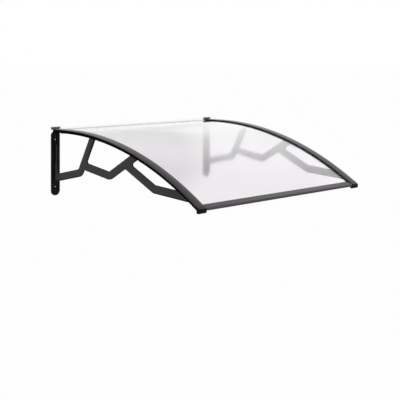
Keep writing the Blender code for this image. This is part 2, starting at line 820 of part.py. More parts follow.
def add_rear_cap(name, side, material, parent):
    """Cap as wide as the wall plate: a wall behind the strip's end, and a head that stands on the strip."""
    front = SHEET_WALL_GAP + REAR_CAP_LENGTH
    wall_front = SHEET_WALL_GAP + REAR_CAP_WALL
    points = [
        corner((SHEET_WALL_GAP, -STRIP_RIB_BOTTOM)),
        corner((wall_front, -STRIP_RIB_BOTTOM)),
        corner((wall_front, FIT_GAP)),
        corner((front, FIT_GAP), REAR_CAP_ROUND),
        corner((front, REAR_CAP_RISE), REAR_CAP_ROUND),
        corner((SHEET_WALL_GAP, REAR_CAP_RISE)),
    ]
    mesh = slab_mesh("rear_cap", round_corners(points), PLATE_WIDTH, REAR_CAP_EDGE, REAR_CAP_EDGE)
    add_object(f"{name}_rear_cap", mesh, material, parent, (side * BRACKET_SPACING / 2, 0, 0))


def add_fixings(name, side, material, parent):
    """Screws and washers below the rail, one pair at each hole."""
    screw = screw_mesh("strip_screw")
    washer = washer_mesh(
        "strip_washer", WASHER_DIAMETER / 2, SCREW_DIAMETER / 2 + FIT_GAP, WASHER_THICKNESS, SCREW_SEGMENTS)
    middle = Matrix.Translation((side * BRACKET_SPACING / 2, 0, 0))
    for number, reach in enumerate(screw_reaches(), start=1):
        seat = square_to_rail(reach, RAIL_BOTTOM, side)
        washer_down = Matrix.Translation((0, 0, -FIT_GAP - WASHER_THICKNESS))
        screw_down = Matrix.Translation((0, 0, -2 * FIT_GAP - WASHER_THICKNESS))
        for label, mesh, down in (("washer", washer, washer_down), ("screw", screw, screw_down)):
            item = add_object(f"{name}_strip_{label}_{number}", mesh, material, parent)
            item.matrix_local = middle @ seat @ down


def add_sheet(material, parent):
    half = BRACKET_SPACING / 2 + SHEET_OVERHANG
    section = [(-half, SHEET_TOP), (half, SHEET_TOP), (half, SHEET_BOTTOM), (-half, SHEET_BOTTOM)]
    mesh = sweep_mesh("roof_sheet", section, SHEET_WALL_GAP, BODY_END)
    add_object("roof_sheet", mesh, material, parent)


def add_front_bar(material, parent):
    """Bar with a slot that takes the front edge of the sheet, its top sloping less than the sheet."""
    front = PROJECTION - BAR_SETBACK
    rear = front - BAR_DEPTH
    lower_rear = front - BAR_LOWER_DEPTH
    slot_end = BODY_END + FIT_GAP
    slot_top = SHEET_TOP - FIT_GAP
    slot_bottom = SHEET_BOTTOM + FIT_GAP

    def at(reach, depth):
        return Vector((reach, height_at(reach, depth)))

    rear_top = at(rear, slot_top - BAR_WALL)
    front_top = at(front, 0.0)
    front_bottom = front_top - Vector((0.0, BAR_FACE_HEIGHT))
    heel = at(slot_end, slot_bottom + BAR_WALL)
    points = [
        corner(rear_top),
        corner(at(rear, slot_top)),
        corner(at((rear + slot_end) / 2, slot_top)),
        corner(at(slot_end, slot_top)),
        corner(at(slot_end, slot_bottom)),
        corner(at(lower_rear, slot_bottom)),
        corner(at(lower_rear, slot_bottom + BAR_WALL)),
        corner(heel),
        corner(front_bottom, BAR_ROUND),
        corner(front_top, BAR_ROUND),
    ]
    over_slot = rear_top.lerp(front_top, (slot_end - rear) / (front - rear))
    chamber = inset(oriented([heel, front_bottom, front_top, over_slot], True), BAR_WALL)
    mesh = slab_mesh("front_bar", round_corners(points), BETWEEN_STRIPS, CUT_EDGE, CUT_EDGE)
    bar = add_object("front_bar", mesh, material, parent)
    cutter = slab_mesh("bar_chamber", chamber, BRACKET_SPACING, CUT_EDGE, CUT_EDGE)
    add_boolean(bar, "DIFFERENCE", add_helper("bar_chamber", cutter, parent))


def add_wall_seal(material, parent):
    """Clear angle along the wall: a foot on the sheet and an upstand against the wall."""
    back = SHEET_WALL_GAP
    foot_bottom = -SHEET_TOP + FIT_GAP
    points = [
        (back, foot_bottom),
        (back + WALL_SEAL_FOOT, foot_bottom),
        (back + WALL_SEAL_FOOT, foot_bottom + WALL_SEAL_TIP),
        (back + WALL_SEAL_THICKNESS, foot_bottom + WALL_SEAL_THICKNESS),
        (back + WALL_SEAL_THICKNESS, WALL_SEAL_RISE),
        (back, WALL_SEAL_RISE),
    ]
    length = BRACKET_SPACING - PLATE_WIDTH - 2 * FIT_GAP
    add_object("wall_seal", slab_mesh("wall_seal", points, length, CUT_EDGE, CUT_EDGE), material, parent)


def build_canopy():
    clear_scene()
    parent = bpy.data.objects.new("canopy", None)
    bpy.context.scene.collection.objects.link(parent)
    moulded = make_material("dark grey moulded plastic", "#3b393c", 0.45)
    anodised = make_material("dark anodised aluminium", "#57565a", 0.38, metallic=0.6)
    rubber = make_material("black rubber", "#0b0b0c", 0.6)
    black_plastic = make_material("black plastic", "#151416", 0.4)
    frosted = make_material("frosted polycarbonate", "#eeeef0", 0.35, alpha=0.45)
    clear = make_material("clear vinyl", "#f4f4f5", 0.2, alpha=0.35)
    steel = make_material("zinc plated steel", "#9c9da0", 0.35, metallic=1.0)
    for name, side in SIDES:
        add_bracket(name, side, moulded, parent)
        add_cover_strip(name, side, anodised, parent)
        add_seals(name, side, rubber, parent)
        add_nose_cap(name, side, black_plastic, parent)
        add_rear_cap(name, side, black_plastic, parent)
        add_fixings(name, side, steel, parent)
    add_sheet(frosted, parent)
    add_front_bar(anodised, parent)
    add_wall_seal(clear, parent)


build_canopy()
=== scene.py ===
import math

import bmesh
import bpy
from bpy.props import FloatProperty, FloatVectorProperty, IntProperty, PointerProperty
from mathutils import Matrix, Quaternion, Vector


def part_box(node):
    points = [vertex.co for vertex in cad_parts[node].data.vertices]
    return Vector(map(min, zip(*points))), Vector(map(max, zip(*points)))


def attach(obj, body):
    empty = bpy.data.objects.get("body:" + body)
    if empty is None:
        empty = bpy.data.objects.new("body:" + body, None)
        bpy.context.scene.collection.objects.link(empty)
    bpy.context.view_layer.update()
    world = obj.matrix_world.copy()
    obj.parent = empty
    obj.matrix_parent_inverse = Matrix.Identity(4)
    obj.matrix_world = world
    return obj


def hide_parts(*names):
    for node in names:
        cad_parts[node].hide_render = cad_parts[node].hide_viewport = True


bl_info = {
    "name": "Door canopy",
    "version": (1, 0, 0),
    "blender": (4, 5, 0),
    "location": "View3D > Sidebar > Canopy",
    "description": "Builds a polycarbonate door canopy on lattice brackets, with its studio",
    "category": "Object",
}

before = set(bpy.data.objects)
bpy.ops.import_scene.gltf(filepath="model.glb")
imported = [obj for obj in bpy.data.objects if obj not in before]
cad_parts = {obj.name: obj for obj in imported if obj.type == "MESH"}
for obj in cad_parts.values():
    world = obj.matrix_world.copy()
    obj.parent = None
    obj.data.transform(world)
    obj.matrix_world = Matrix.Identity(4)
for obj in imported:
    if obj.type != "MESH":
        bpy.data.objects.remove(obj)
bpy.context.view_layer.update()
BODY = "root"
SIDES = ("left", "right")
SHEET_LOW, SHEET_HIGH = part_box("roof_sheet")
WHITE = (1.0, 1.0, 1.0, 1.0)

# Nearly all of a noise texture's values lie between these two.
NOISE_RANGE = {"From Min": 0.3, "From Max": 0.7}

# The room that the canopy mirrors: the sine of a direction's rise above the horizon, and how bright
# the room is there. It is brightest low down and dim overhead, so the curve of the sheet shows.
ROOM_LIGHT = ((0.0, 1.35), (0.25, 1.1), (0.5, 0.9), (0.66, 0.55), (1.0, 0.35))


def linear(code):
    """Linear red, green and blue of an sRGB hex colour."""
    channels = [int(code[index:index + 2], 16) / 255 for index in (1, 3, 5)]
    return tuple(value / 12.92 if value <= 0.04045 else ((value + 0.055) / 1.055) ** 2.4
                 for value in channels)


def length(name, description, default):
    """Property for a length, in metres."""
    return FloatProperty(name=name, description=description, default=default, min=0.0,
                         precision=5, subtype="DISTANCE", unit="LENGTH")


def angle(name, description, degrees):
    """Property for an angle."""
    return FloatProperty(name=name, description=description, default=math.radians(degrees),
                         subtype="ANGLE")


def place(name, description, default):
    """Property for a point, in metres."""
    return FloatVectorProperty(name=name, description=description, default=default, size=3,
                               subtype="TRANSLATION")


def colour(name, description, default):
    """Property for a colour, given as sRGB hex."""
    return FloatVectorProperty(name=name, description=description, default=linear(default),
                               size=3, min=0.0, max=1.0, subtype="COLOR")


class CanopySizes(bpy.types.PropertyGroup):
    """Sizes of the curve and of what is finer than the solids it replaces."""
    projection: length("Projection", "How far the canopy reaches from the wall", 0.999)
    flat_run: length("Flat run", "Level stretch behind the curve", 0.112)
    front_drop: length("Front drop", "How far the crown of the strips falls to the front", 0.260)
    curve_steps: IntProperty(name="Curve steps", description="Straight steps that draw the curve",
                             default=34, min=8)
    skin: length("Skin", "Thickness of the sheet's upper and lower skin", 0.00045)
    rib_pitch: length("Rib pitch", "Distance between two ribs inside the sheet", 0.006)
    rib_thickness: length("Rib thickness", "Thickness of a rib inside the sheet", 0.00035)
    rib_clearance: length("Rib clearance", "Gap between a rib and each skin", 0.00003)
    merge: length("Merge distance", "Corners closer than this are one corner", 0.00001)
    round_angle: angle("Round angle", "Faces that turn less than this are shaded round", 50)
    flat_angle: angle("Flat angle", "Faces that turn less than this become one face", 0.05)


class CanopyColours(bpy.types.PropertyGroup):
    """Colours of the finishes, as they look in plain light."""
    sheet: colour("Sheet", "Opal polycarbonate", "#fdfbfd")
    bracket: colour("Bracket", "Charcoal ABS", "#3d3a3e")
    aluminium: colour("Aluminium", "Dark anodised strips and bar", "#524e52")
    nose_cap: colour("Nose caps", "Black nylon", "#040304")
    rear_cap: colour("Rear caps", "Grey nylon", "#807d80")
    seal: colour("Seal", "Black rubber seals", "#020202")
    wall_seal: colour("Wall seal", "Clear vinyl", "#bebbbe")
    steel: colour("Steel", "Zinc plated screws", "#b4b6b8")
    floor: colour("Floor", "Studio floor", "#f4f4f5")


class CanopyStudio(bpy.types.PropertyGroup):
    """Camera, floor and light."""
    lens: FloatProperty(name="Lens", description="Focal length in millimetres", default=79.94,
                        min=1.0, unit="CAMERA")
    camera_place: place("Camera", "Place of the camera", (-2.928, -3.482, 0.324))
    camera_turn: angle("Camera turn", "Compass turn of the level camera", -44.16)
    shift_up: FloatProperty(name="Shift", description="Vertical shift of the level camera",
                            default=-0.3506)
    floor_drop: length("Floor drop", "Floor below the cover strips", 2.2)
    floor_reach: length("Floor reach", "From the middle of the floor to its edges", 400.0)
    floor_glow: FloatProperty(name="Floor glow", description="Share of plain white that is seen",
                              default=0.95, min=0.0, max=1.0, subtype="FACTOR")
    sky_light: FloatProperty(name="Sky", description="Strength of the even light from all round",
                             default=0.8, min=0.0)
    softbox_light: FloatProperty(name="Softbox", description="Brightness of its middle",
                                 default=0.42, min=0.0)
    softbox_place: place("Softbox place", "Middle of the softbox", (4.0, 1.06, 2.05))
    softbox_width: length("Softbox width", "Longer side of the softbox", 5.8)
    softbox_height: length("Softbox height", "Shorter side of the softbox", 3.8)
    softbox_roll: angle("Softbox roll", "Turn of the softbox in its own plane", -45)


# Materials

def add_node(tree, kind, inputs=None, **settings):
    """A node with its settings, and each of its inputs given a value or linked to an output."""
    node = tree.nodes.new(kind)
    for name, value in settings.items():
        setattr(node, name, value)
    for key, value in (inputs or {}).items():
        if isinstance(value, bpy.types.NodeSocket):
            tree.links.new(value, node.inputs[key])
        else:
            node.inputs[key].default_value = value
    return node


def new_material(name):
    """Empty material, and the point on the piece that its patterns are drawn from."""
    material = bpy.data.materials.new(name)
    material.use_nodes = True
    tree = material.node_tree
    tree.nodes.clear()
    return material, tree, add_node(tree, "ShaderNodeTexCoord").outputs["Object"]


def finish_material(tree, inputs):
    """The Principled shader that every finish of the canopy ends in."""
    shader = add_node(tree, "ShaderNodeBsdfPrincipled", inputs)
    add_node(tree, "ShaderNodeOutputMaterial", {"Surface": shader.outputs["BSDF"]})


def moulded_abs(colours):
    """ABS, injection moulded: fine matt grain on the flat sides, and painted shade darkening the
    flanks.
    """
    material, tree, point = new_material("moulded_abs")
    # The real grain is about 0.2 mm wide, too fine to show, so it is drawn coarser.
    grain_mm, depth_mm, cloud_mm = 0.9, 0.02, 60
    grain = add_node(tree, "ShaderNodeTexNoise", {
        "Vector": point, "Scale": 1000 / grain_mm, "Detail": 3.0})
    cloud = add_node(tree, "ShaderNodeTexNoise", {
        "Vector": point, "Scale": 1000 / cloud_mm, "Detail": 4.0})
    shade = add_node(tree, "ShaderNodeMapRange", {
        "Value": cloud.outputs["Fac"], **NOISE_RANGE, "To Min": 0.9, "To Max": 1.1})
    # Painted shade by facing: flanks up to the first value are darkest, sides from the second keep
    # full colour.
    flank, side = 0.85, 0.99
    # Share of the colour left on a flank: painted shade, as if the flanks faced away from the
    # light.
    painted_flank_shade = 0.18
    normal = add_node(tree, "ShaderNodeTexCoord").outputs["Normal"]
    across = add_node(tree, "ShaderNodeSeparateXYZ", {"Vector": normal}).outputs["X"]
    square = add_node(tree, "ShaderNodeMath", {0: across}, operation="ABSOLUTE")
    painted_facing_shade = add_node(tree, "ShaderNodeMapRange", {
        "Value": square.outputs[0], "From Min": flank, "From Max": side,
        "To Min": painted_flank_shade, "To Max": 1.0})
    level = add_node(tree, "ShaderNodeMath", {
        0: shade.outputs["Result"], 1: painted_facing_shade.outputs["Result"]}, operation="MULTIPLY")
    tint = add_node(tree, "ShaderNodeVectorMath", {
        0: colours.bracket, "Scale": level.outputs[0]}, operation="SCALE")
    roughness = add_node(tree, "ShaderNodeMapRange", {
        "Value": grain.outputs["Fac"], **NOISE_RANGE, "To Min": 0.48, "To Max": 0.6})
    bump = add_node(tree, "ShaderNodeBump", {
        "Height": grain.outputs["Fac"], "Distance": depth_mm / 1000, "Strength": 0.5})
    finish_material(tree, {
        "Base Color": tint.outputs["Vector"], "Roughness": roughness.outputs["Result"],
        "IOR": 1.53, "Specular IOR Level": 0.08, "Normal": bump.outputs["Normal"]})
    return material


def anodised_aluminium(name, colours, die_axis):
    """Aluminium, extruded and dark anodised: faint die lines along its run, and a satin sheen."""
    material, tree, point = new_material(name)
    # Real die lines are about 0.1 mm apart, too fine to show, so they are drawn coarser.
    line_mm, run_mm, depth_mm, cloud_mm = 0.8, 160, 0.02, 45
    stretch = [1000 / line_mm] * 3
    stretch[die_axis] = 1000 / run_mm
    drawn = add_node(tree, "ShaderNodeVectorMath", {0: point, 1: stretch}, operation="MULTIPLY")
    lines = add_node(tree, "ShaderNodeTexNoise", {
        "Vector": drawn.outputs["Vector"], "Scale": 1.0, "Detail": 2.0})
    cloud = add_node(tree, "ShaderNodeTexNoise", {
        "Vector": point, "Scale": 1000 / cloud_mm, "Detail": 3.0})
    shade = add_node(tree, "ShaderNodeMapRange", {
        "Value": cloud.outputs["Fac"], **NOISE_RANGE, "To Min": 0.94, "To Max": 1.06})
    tint = add_node(tree, "ShaderNodeVectorMath", {
        0: colours.aluminium, "Scale": shade.outputs["Result"]}, operation="SCALE")
    roughness = add_node(tree, "ShaderNodeMapRange", {
        "Value": lines.outputs["Fac"], **NOISE_RANGE, "To Min": 0.34, "To Max": 0.44})
    bump = add_node(tree, "ShaderNodeBump", {
        "Height": lines.outputs["Fac"], "Distance": depth_mm / 1000, "Strength": 0.4})
    finish_material(tree, {
        "Base Color": tint.outputs["Vector"], "Metallic": 1.0,
        "Roughness": roughness.outputs["Result"], "Normal": bump.outputs["Normal"]})
    return material


def moulded_nylon(name, tone):
    """Nylon, injection moulded: one close colour with a soft gloss on its rounded edges."""
    material, tree, point = new_material(name)
    grain_mm, depth_mm = 1.2, 0.01  # Coarser than the mould's own grain, so that it shows.
    grain = add_node(tree, "ShaderNodeTexNoise", {
        "Vector": point, "Scale": 1000 / grain_mm, "Detail": 3.0})
    roughness = add_node(tree, "ShaderNodeMapRange", {
        "Value": grain.outputs["Fac"], **NOISE_RANGE, "To Min": 0.24, "To Max": 0.32})
    bump = add_node(tree, "ShaderNodeBump", {
        "Height": grain.outputs["Fac"], "Distance": depth_mm / 1000, "Strength": 0.4})
    finish_material(tree, {
        "Base Color": (*tone, 1.0), "Roughness": roughness.outputs["Result"], "IOR": 1.53,
        "Specular IOR Level": 0.1, "Normal": bump.outputs["Normal"]})
    return material


def extruded_rubber(colours):
    """EPDM rubber, extruded: deep matt black that gives back hardly any light."""
    material, tree, point = new_material("extruded_rubber")
    grain_mm = 0.7  # Coarser than the rubber's own grain, so that it shows.
    grain = add_node(tree, "ShaderNodeTexNoise", {
        "Vector": point, "Scale": 1000 / grain_mm, "Detail": 2.0})
    roughness = add_node(tree, "ShaderNodeMapRange", {
        "Value": grain.outputs["Fac"], **NOISE_RANGE, "To Min": 0.7, "To Max": 0.85})
    finish_material(tree, {
        "Base Color": (*colours.seal, 1.0), "Roughness": roughness.outputs["Result"],
        "IOR": 1.5, "Specular IOR Level": 0.03})
    return material


def opal_polycarbonate(colours):
    """Polycarbonate, extruded with an opal tint: what lies behind it shows soft and pale."""
    material, tree, point = new_material("opal_polycarbonate")
    cloud_mm = 90
    cloud = add_node(tree, "ShaderNodeTexNoise", {
        "Vector": point, "Scale": 1000 / cloud_mm, "Detail": 2.0})
    roughness = add_node(tree, "ShaderNodeMapRange", {
        "Value": cloud.outputs["Fac"], **NOISE_RANGE, "To Min": 0.035, "To Max": 0.05})
    finish_material(tree, {
        "Base Color": (*colours.sheet, 1.0), "Roughness": roughness.outputs["Result"],
        "IOR": 1.58, "Transmission Weight": 1.0})
    return material


def opal_rib(colours):
    """The same polycarbonate in thin ribs, drawn as a film that lets most light straight on."""
    material, tree, point = new_material("opal_rib")
    cloud_mm = 40
    cloud = add_node(tree, "ShaderNodeTexNoise", {
        "Vector": point, "Scale": 1000 / cloud_mm, "Detail": 2.0})
    roughness = add_node(tree, "ShaderNodeMapRange", {
        "Value": cloud.outputs["Fac"], **NOISE_RANGE, "To Min": 0.4, "To Max": 0.5})
    finish_material(tree, {
        "Base Color": (*colours.sheet, 1.0), "Roughness": roughness.outputs["Result"],
        "IOR": 1.58, "Specular IOR Level": 0.0, "Alpha": 0.06})
    return material


def clear_vinyl(colours):
    """Soft PVC, extruded clear: a grey line of painted edge shade beside the sheet, and the rest
    hardly shows.
    """
    material, tree, point = new_material("clear_vinyl")
    wave_mm, line_mm = 25, 4
    wave = add_node(tree, "ShaderNodeTexNoise", {
        "Vector": point, "Scale": 1000 / wave_mm, "Detail": 1.0})
    roughness = add_node(tree, "ShaderNodeMapRange", {
        "Value": wave.outputs["Fac"], **NOISE_RANGE, "To Min": 0.1, "To Max": 0.16})
    # Painted shade: the dark edge line is centred on the sheet's upper face and fades out over half
    # its width.
    height = add_node(tree, "ShaderNodeSeparateXYZ", {"Vector": point}).outputs["Z"]
    rise = add_node(tree, "ShaderNodeMath", {0: height, 1: SHEET_HIGH.z}, operation="SUBTRACT")
    away = add_node(tree, "ShaderNodeMath", {0: rise.outputs[0]}, operation="ABSOLUTE")
    painted_edge_shade = add_node(tree, "ShaderNodeMapRange", {
        "Value": away.outputs[0], "From Min": line_mm / 2000, "From Max": line_mm / 1000,
        "To Min": 0.33, "To Max": 0.04})
    finish_material(tree, {
        "Base Color": (*colours.wall_seal, 1.0), "Roughness": roughness.outputs["Result"],
        "IOR": 1.53, "Specular IOR Level": 0.05, "Alpha": painted_edge_shade.outputs["Result"]})
    return material


def zinc_plated_steel(colours):
    """Steel, cold headed and zinc plated: small bright glints below the rail."""
    material, tree, point = new_material("zinc_plated_steel")
    grain_mm = 1.5  # Coarser than the plating's own grain, so that it shows.
    grain = add_node(tree, "ShaderNodeTexNoise", {
        "Vector": point, "Scale": 1000 / grain_mm, "Detail": 3.0})
    roughness = add_node(tree, "ShaderNodeMapRange", {
        "Value": grain.outputs["Fac"], **NOISE_RANGE, "To Min": 0.26, "To Max": 0.4})
    finish_material(tree, {
        "Base Color": (*colours.steel, 1.0), "Metallic": 1.0,
        "Roughness": roughness.outputs["Result"]})
    return material


# The curve and the pieces on it

def arc_radius(sizes):
    """Radius of the crown, which leaves the flat run level and falls by the front drop."""
    run = sizes.projection - sizes.flat_run
    return (run ** 2 + sizes.front_drop ** 2) / (2 * sizes.front_drop)


def curve_rings(sizes, start, end):
    """Functions from depth to point, one for each section from the wall to a plumb front end."""
    radius, flat = arc_radius(sizes), sizes.flat_run
    last_turn = math.asin((end - flat) / radius)
    rings = [lambda depth: Vector((0.0, -start, -depth))]
    for step in range(sizes.curve_steps):
        turn = last_turn * step / sizes.curve_steps
        rings.append(lambda depth, turn=turn: Vector((
            0.0, -flat - (radius - depth) * math.sin(turn),
            (radius - depth) * math.cos(turn) - radius)))
    rings.append(lambda depth: Vector((
        0.0, -end, math.sqrt((radius - depth) ** 2 - (end - flat) ** 2) - radius)))
    return rings


def curved_slab(build, sizes, half_width, top, bottom):
    """Closed slab that follows the curve of the sheet between two depths."""
    section = ((-half_width, top), (half_width, top), (half_width, bottom), (-half_width, bottom))
    loops = []
    for ring in curve_rings(sizes, -SHEET_HIGH.y, -SHEET_LOW.y):
        loops.append([build.verts.new(ring(depth) + Vector((across, 0.0, 0.0)))
                      for across, depth in section])
    for near, far in zip(loops, loops[1:]):
        for index, corner in enumerate(near):
            after = (index + 1) % len(near)
            build.faces.new((corner, near[after], far[after], far[index]))
    build.faces.new(reversed(loops[0]))
    build.faces.new(loops[-1])


def new_piece(name, build, material, round_angle):
    """Object at the origin from a bmesh, facing out and shaded round where it turns gently."""
    bmesh.ops.recalc_face_normals(build, faces=build.faces)
    mesh = bpy.data.meshes.new(name)
    build.to_mesh(mesh)
    build.free()
    mesh.materials.clear()
    mesh.materials.append(material)
    mesh.shade_smooth()
    mesh.set_sharp_from_angle(angle=round_angle)
    piece = bpy.data.objects.new(name, mesh)
    bpy.context.scene.collection.objects.link(piece)
    return piece


def hold(piece, slot, *nodes):
    """The piece stands for these CAD nodes and moves with their body."""
    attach(piece, BODY)
    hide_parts(*nodes)


def finished_copy(node, material, slot, sizes):
    """The CAD node as one smooth skin, with its flat faces kept flat beside its rounded edges."""
    build = bmesh.new()
    build.from_mesh(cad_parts[node].data)
    bmesh.ops.remove_doubles(build, verts=build.verts, dist=sizes.merge)
    bmesh.ops.dissolve_limit(build, angle_limit=sizes.flat_angle, verts=build.verts,
                             edges=build.edges)
    piece = new_piece(f"{node}_piece", build, material, sizes.round_angle)
    weighted = piece.modifiers.new("flat faces lead", "WEIGHTED_NORMAL")
    weighted.keep_sharp = True
    hold(piece, slot, node)


def socket_id(tree, name):
    """Identifier of a node group's named input."""
    return next(item.identifier for item in tree.interface.items_tree
                if item.item_type == "SOCKET" and item.in_out == "INPUT" and item.name == name)


def row_tree(name):
    """Geometry Nodes: copies of the incoming shape in a row along X, centred on it."""
    tree = bpy.data.node_groups.new(name, "GeometryNodeTree")
    for label, kind in (("Geometry", "NodeSocketGeometry"), ("Count", "NodeSocketInt"),
                        ("Pitch", "NodeSocketFloat"), ("Material", "NodeSocketMaterial")):
        tree.interface.new_socket(label, in_out="INPUT", socket_type=kind)
    tree.interface.new_socket("Geometry", in_out="OUTPUT", socket_type="NodeSocketGeometry")
    given = add_node(tree, "NodeGroupInput").outputs
    spaces = add_node(tree, "ShaderNodeMath", {0: given["Count"], 1: 1.0}, operation="SUBTRACT")
    span = add_node(tree, "ShaderNodeMath", {
        0: spaces.outputs[0], 1: given["Pitch"]}, operation="MULTIPLY")
    first = add_node(tree, "ShaderNodeMath", {0: span.outputs[0], 1: -0.5}, operation="MULTIPLY")
    start = add_node(tree, "ShaderNodeCombineXYZ", {"X": first.outputs[0]})
    offset = add_node(tree, "ShaderNodeCombineXYZ", {"X": given["Pitch"]})
    row = add_node(tree, "GeometryNodeMeshLine", {
        "Count": given["Count"], "Start Location": start.outputs[0],
        "Offset": offset.outputs[0]})
    copies = add_node(tree, "GeometryNodeInstanceOnPoints", {
        "Points": row.outputs["Mesh"], "Instance": given["Geometry"]})
    real = add_node(tree, "GeometryNodeRealizeInstances", {
        "Geometry": copies.outputs["Instances"]})
    painted = add_node(tree, "GeometryNodeSetMaterial", {
        "Geometry": real.outputs["Geometry"], "Material": given["Material"]})
    add_node(tree, "NodeGroupOutput", {"Geometry": painted.outputs["Geometry"]})
    return tree


def grown(piece, tree, values):
    """Run a Geometry Nodes tree on a piece and keep the result as its plain mesh."""
    modifier = piece.modifiers.new(tree.name, "NODES")
    modifier.node_group = tree
    for name, value in values.items():
        modifier[socket_id(tree, name)] = value
    piece.update_tag()
    graph = bpy.context.evaluated_depsgraph_get()
    mesh = bpy.data.meshes.new_from_object(piece.evaluated_get(graph), depsgraph=graph)
    mesh.name = piece.name
    piece.modifiers.remove(modifier)
    piece.data = mesh
    return piece


class CANOPY_OT_sheet(bpy.types.Operator):
    """Hollow opal sheet: two thin skins, and ribs between them from the wall to the front"""
    bl_idname = "canopy.sheet"
    bl_label = "Sheet"

    def execute(self, context):
        sizes, colours = context.scene.canopy_sizes, context.scene.canopy_colours
        opal, film = opal_polycarbonate(colours), opal_rib(colours)
        half_width = SHEET_HIGH.x
        top = -SHEET_HIGH.z
        bottom = arc_radius(sizes) - math.hypot(
            -SHEET_LOW.y - sizes.flat_run, SHEET_LOW.z + arc_radius(sizes))
        skins = bmesh.new()
        curved_slab(skins, sizes, half_width, top, top + sizes.skin)
        curved_slab(skins, sizes, half_width, bottom - sizes.skin, bottom)
        hold(new_piece("roof_sheet_skins", skins, opal, sizes.round_angle),
             "frosted_polycarbonate", "roof_sheet")
        rib = bmesh.new()
        inside = sizes.skin + sizes.rib_clearance
        curved_slab(rib, sizes, sizes.rib_thickness / 2, top + inside, bottom - inside)
        span = 2 * half_width - sizes.rib_thickness
        spaces = int(span / sizes.rib_pitch)
        ribs = grown(new_piece("roof_sheet_ribs", rib, film, sizes.round_angle),
                     row_tree("rib_row"),
                     {"Count": spaces + 1, "Pitch": span / spaces, "Material": film})
        hold(ribs, "frosted_polycarbonate", "roof_sheet")
        return {"FINISHED"}


class CANOPY_OT_brackets(bpy.types.Operator):
    """Moulded lattice brackets"""
    bl_idname = "canopy.brackets"
    bl_label = "Brackets"

    def execute(self, context):
        sizes = context.scene.canopy_sizes
        material = moulded_abs(context.scene.canopy_colours)
        for side in SIDES:
            finished_copy(f"{side}_bracket", material, "dark_plastic", sizes)
        return {"FINISHED"}


class CANOPY_OT_strips(bpy.types.Operator):
    """Cover strips over both side edges of the sheet"""
    bl_idname = "canopy.strips"
    bl_label = "Cover strips"

    def execute(self, context):
        sizes = context.scene.canopy_sizes
        material = anodised_aluminium("anodised_strip", context.scene.canopy_colours, die_axis=1)
        for side in SIDES:
            finished_copy(f"{side}_cover_strip", material, "dark_aluminium", sizes)
        return {"FINISHED"}


class CANOPY_OT_front_bar(bpy.types.Operator):
    """Hollow bar along the front edge of the sheet"""
    bl_idname = "canopy.front_bar"
    bl_label = "Front bar"

    def execute(self, context):
        material = anodised_aluminium("anodised_bar", context.scene.canopy_colours, die_axis=0)
        finished_copy("front_bar", material, "dark_aluminium", context.scene.canopy_sizes)
        return {"FINISHED"}


class CANOPY_OT_caps(bpy.types.Operator):
    """Nose caps at the front and the caps over the strips at the wall"""
    bl_idname = "canopy.caps"
    bl_label = "Caps"

    def execute(self, context):
        sizes, colours = context.scene.canopy_sizes, context.scene.canopy_colours
        for label, tone in (("nose_cap", colours.nose_cap), ("rear_cap", colours.rear_cap)):
            material = moulded_nylon(f"moulded_nylon_{label}", tone)
            for side in SIDES:
                finished_copy(f"{side}_{label}", material, "black_plastic", sizes)
        return {"FINISHED"}


class CANOPY_OT_seals(bpy.types.Operator):
    """Rubber seals above, below and beside the sheet's edges"""
    bl_idname = "canopy.seals"
    bl_label = "Seals"

    def execute(self, context):
        sizes = context.scene.canopy_sizes
        material = extruded_rubber(context.scene.canopy_colours)
        for side in SIDES:
            for label in ("clamp_seal", "bed_seal", "edge_seal"):
                finished_copy(f"{side}_{label}", material, "black_rubber", sizes)
        return {"FINISHED"}


class CANOPY_OT_wall_seal(bpy.types.Operator):
    """Clear lip between the sheet and the wall"""
    bl_idname = "canopy.wall_seal"
    bl_label = "Wall seal"

    def execute(self, context):
        material = clear_vinyl(context.scene.canopy_colours)
        finished_copy("wall_seal", material, "clear_vinyl", context.scene.canopy_sizes)
        return {"FINISHED"}


class CANOPY_OT_fixings(bpy.types.Operator):
    """Screws and washers below the rails"""
    bl_idname = "canopy.fixings"
    bl_label = "Screws"

    def execute(self, context):
        sizes = context.scene.canopy_sizes
        material = zinc_plated_steel(context.scene.canopy_colours)
        for node in sorted(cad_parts):
            if "_strip_screw_" in node or "_strip_washer_" in node:
                finished_copy(node, material, "zinc_steel", sizes)
        return {"FINISHED"}


# Studio

def add_softbox(studio):
    """Large soft lamp beyond the far side, for the sheet to mirror: it fades toward its edges."""
    light = bpy.data.lights.new("softbox", "AREA")
    light.shape = "RECTANGLE"
    light.size = studio.softbox_width
    light.size_y = studio.softbox_height
    light.energy = studio.softbox_light * math.pi * light.size * light.size_y
    light.use_nodes = True
    tree = light.node_tree
    tree.nodes.clear()
    # Distance from the lamp's middle along the side where it is larger, as a share of that side.
    even, half = 0.32, 0.5
    point = add_node(tree, "ShaderNodeNewGeometry").outputs["Parametric"]
    offset = add_node(tree, "ShaderNodeVectorMath", {
        0: point, 1: (half, half, 0.0)}, operation="SUBTRACT")
    away = add_node(tree, "ShaderNodeVectorMath", {
        0: offset.outputs["Vector"]}, operation="ABSOLUTE")
    sides = add_node(tree, "ShaderNodeSeparateXYZ", {"Vector": away.outputs["Vector"]}).outputs
    farther = add_node(tree, "ShaderNodeMath", {0: sides["X"], 1: sides["Y"]}, operation="MAXIMUM")
    fade = add_node(tree, "ShaderNodeMapRange", {
        "Value": farther.outputs[0], "From Min": even, "From Max": half,
        "To Min": 1.0, "To Max": 0.0}, interpolation_type="SMOOTHSTEP")
    glow = add_node(tree, "ShaderNodeEmission", {
        "Color": WHITE, "Strength": fade.outputs["Result"]})
    add_node(tree, "ShaderNodeOutputLight", {"Surface": glow.outputs["Emission"]})
    lamp = bpy.data.objects.new("softbox", light)
    lamp.location = studio.softbox_place
    toward_near_side = Vector((-1.0, 0.0, 0.0)).to_track_quat("-Z", "Y")
    roll = Quaternion((0.0, 0.0, 1.0), studio.softbox_roll)
    lamp.rotation_euler = (toward_near_side @ roll).to_euler()
    lamp.visible_camera = False
    bpy.context.scene.collection.objects.link(lamp)


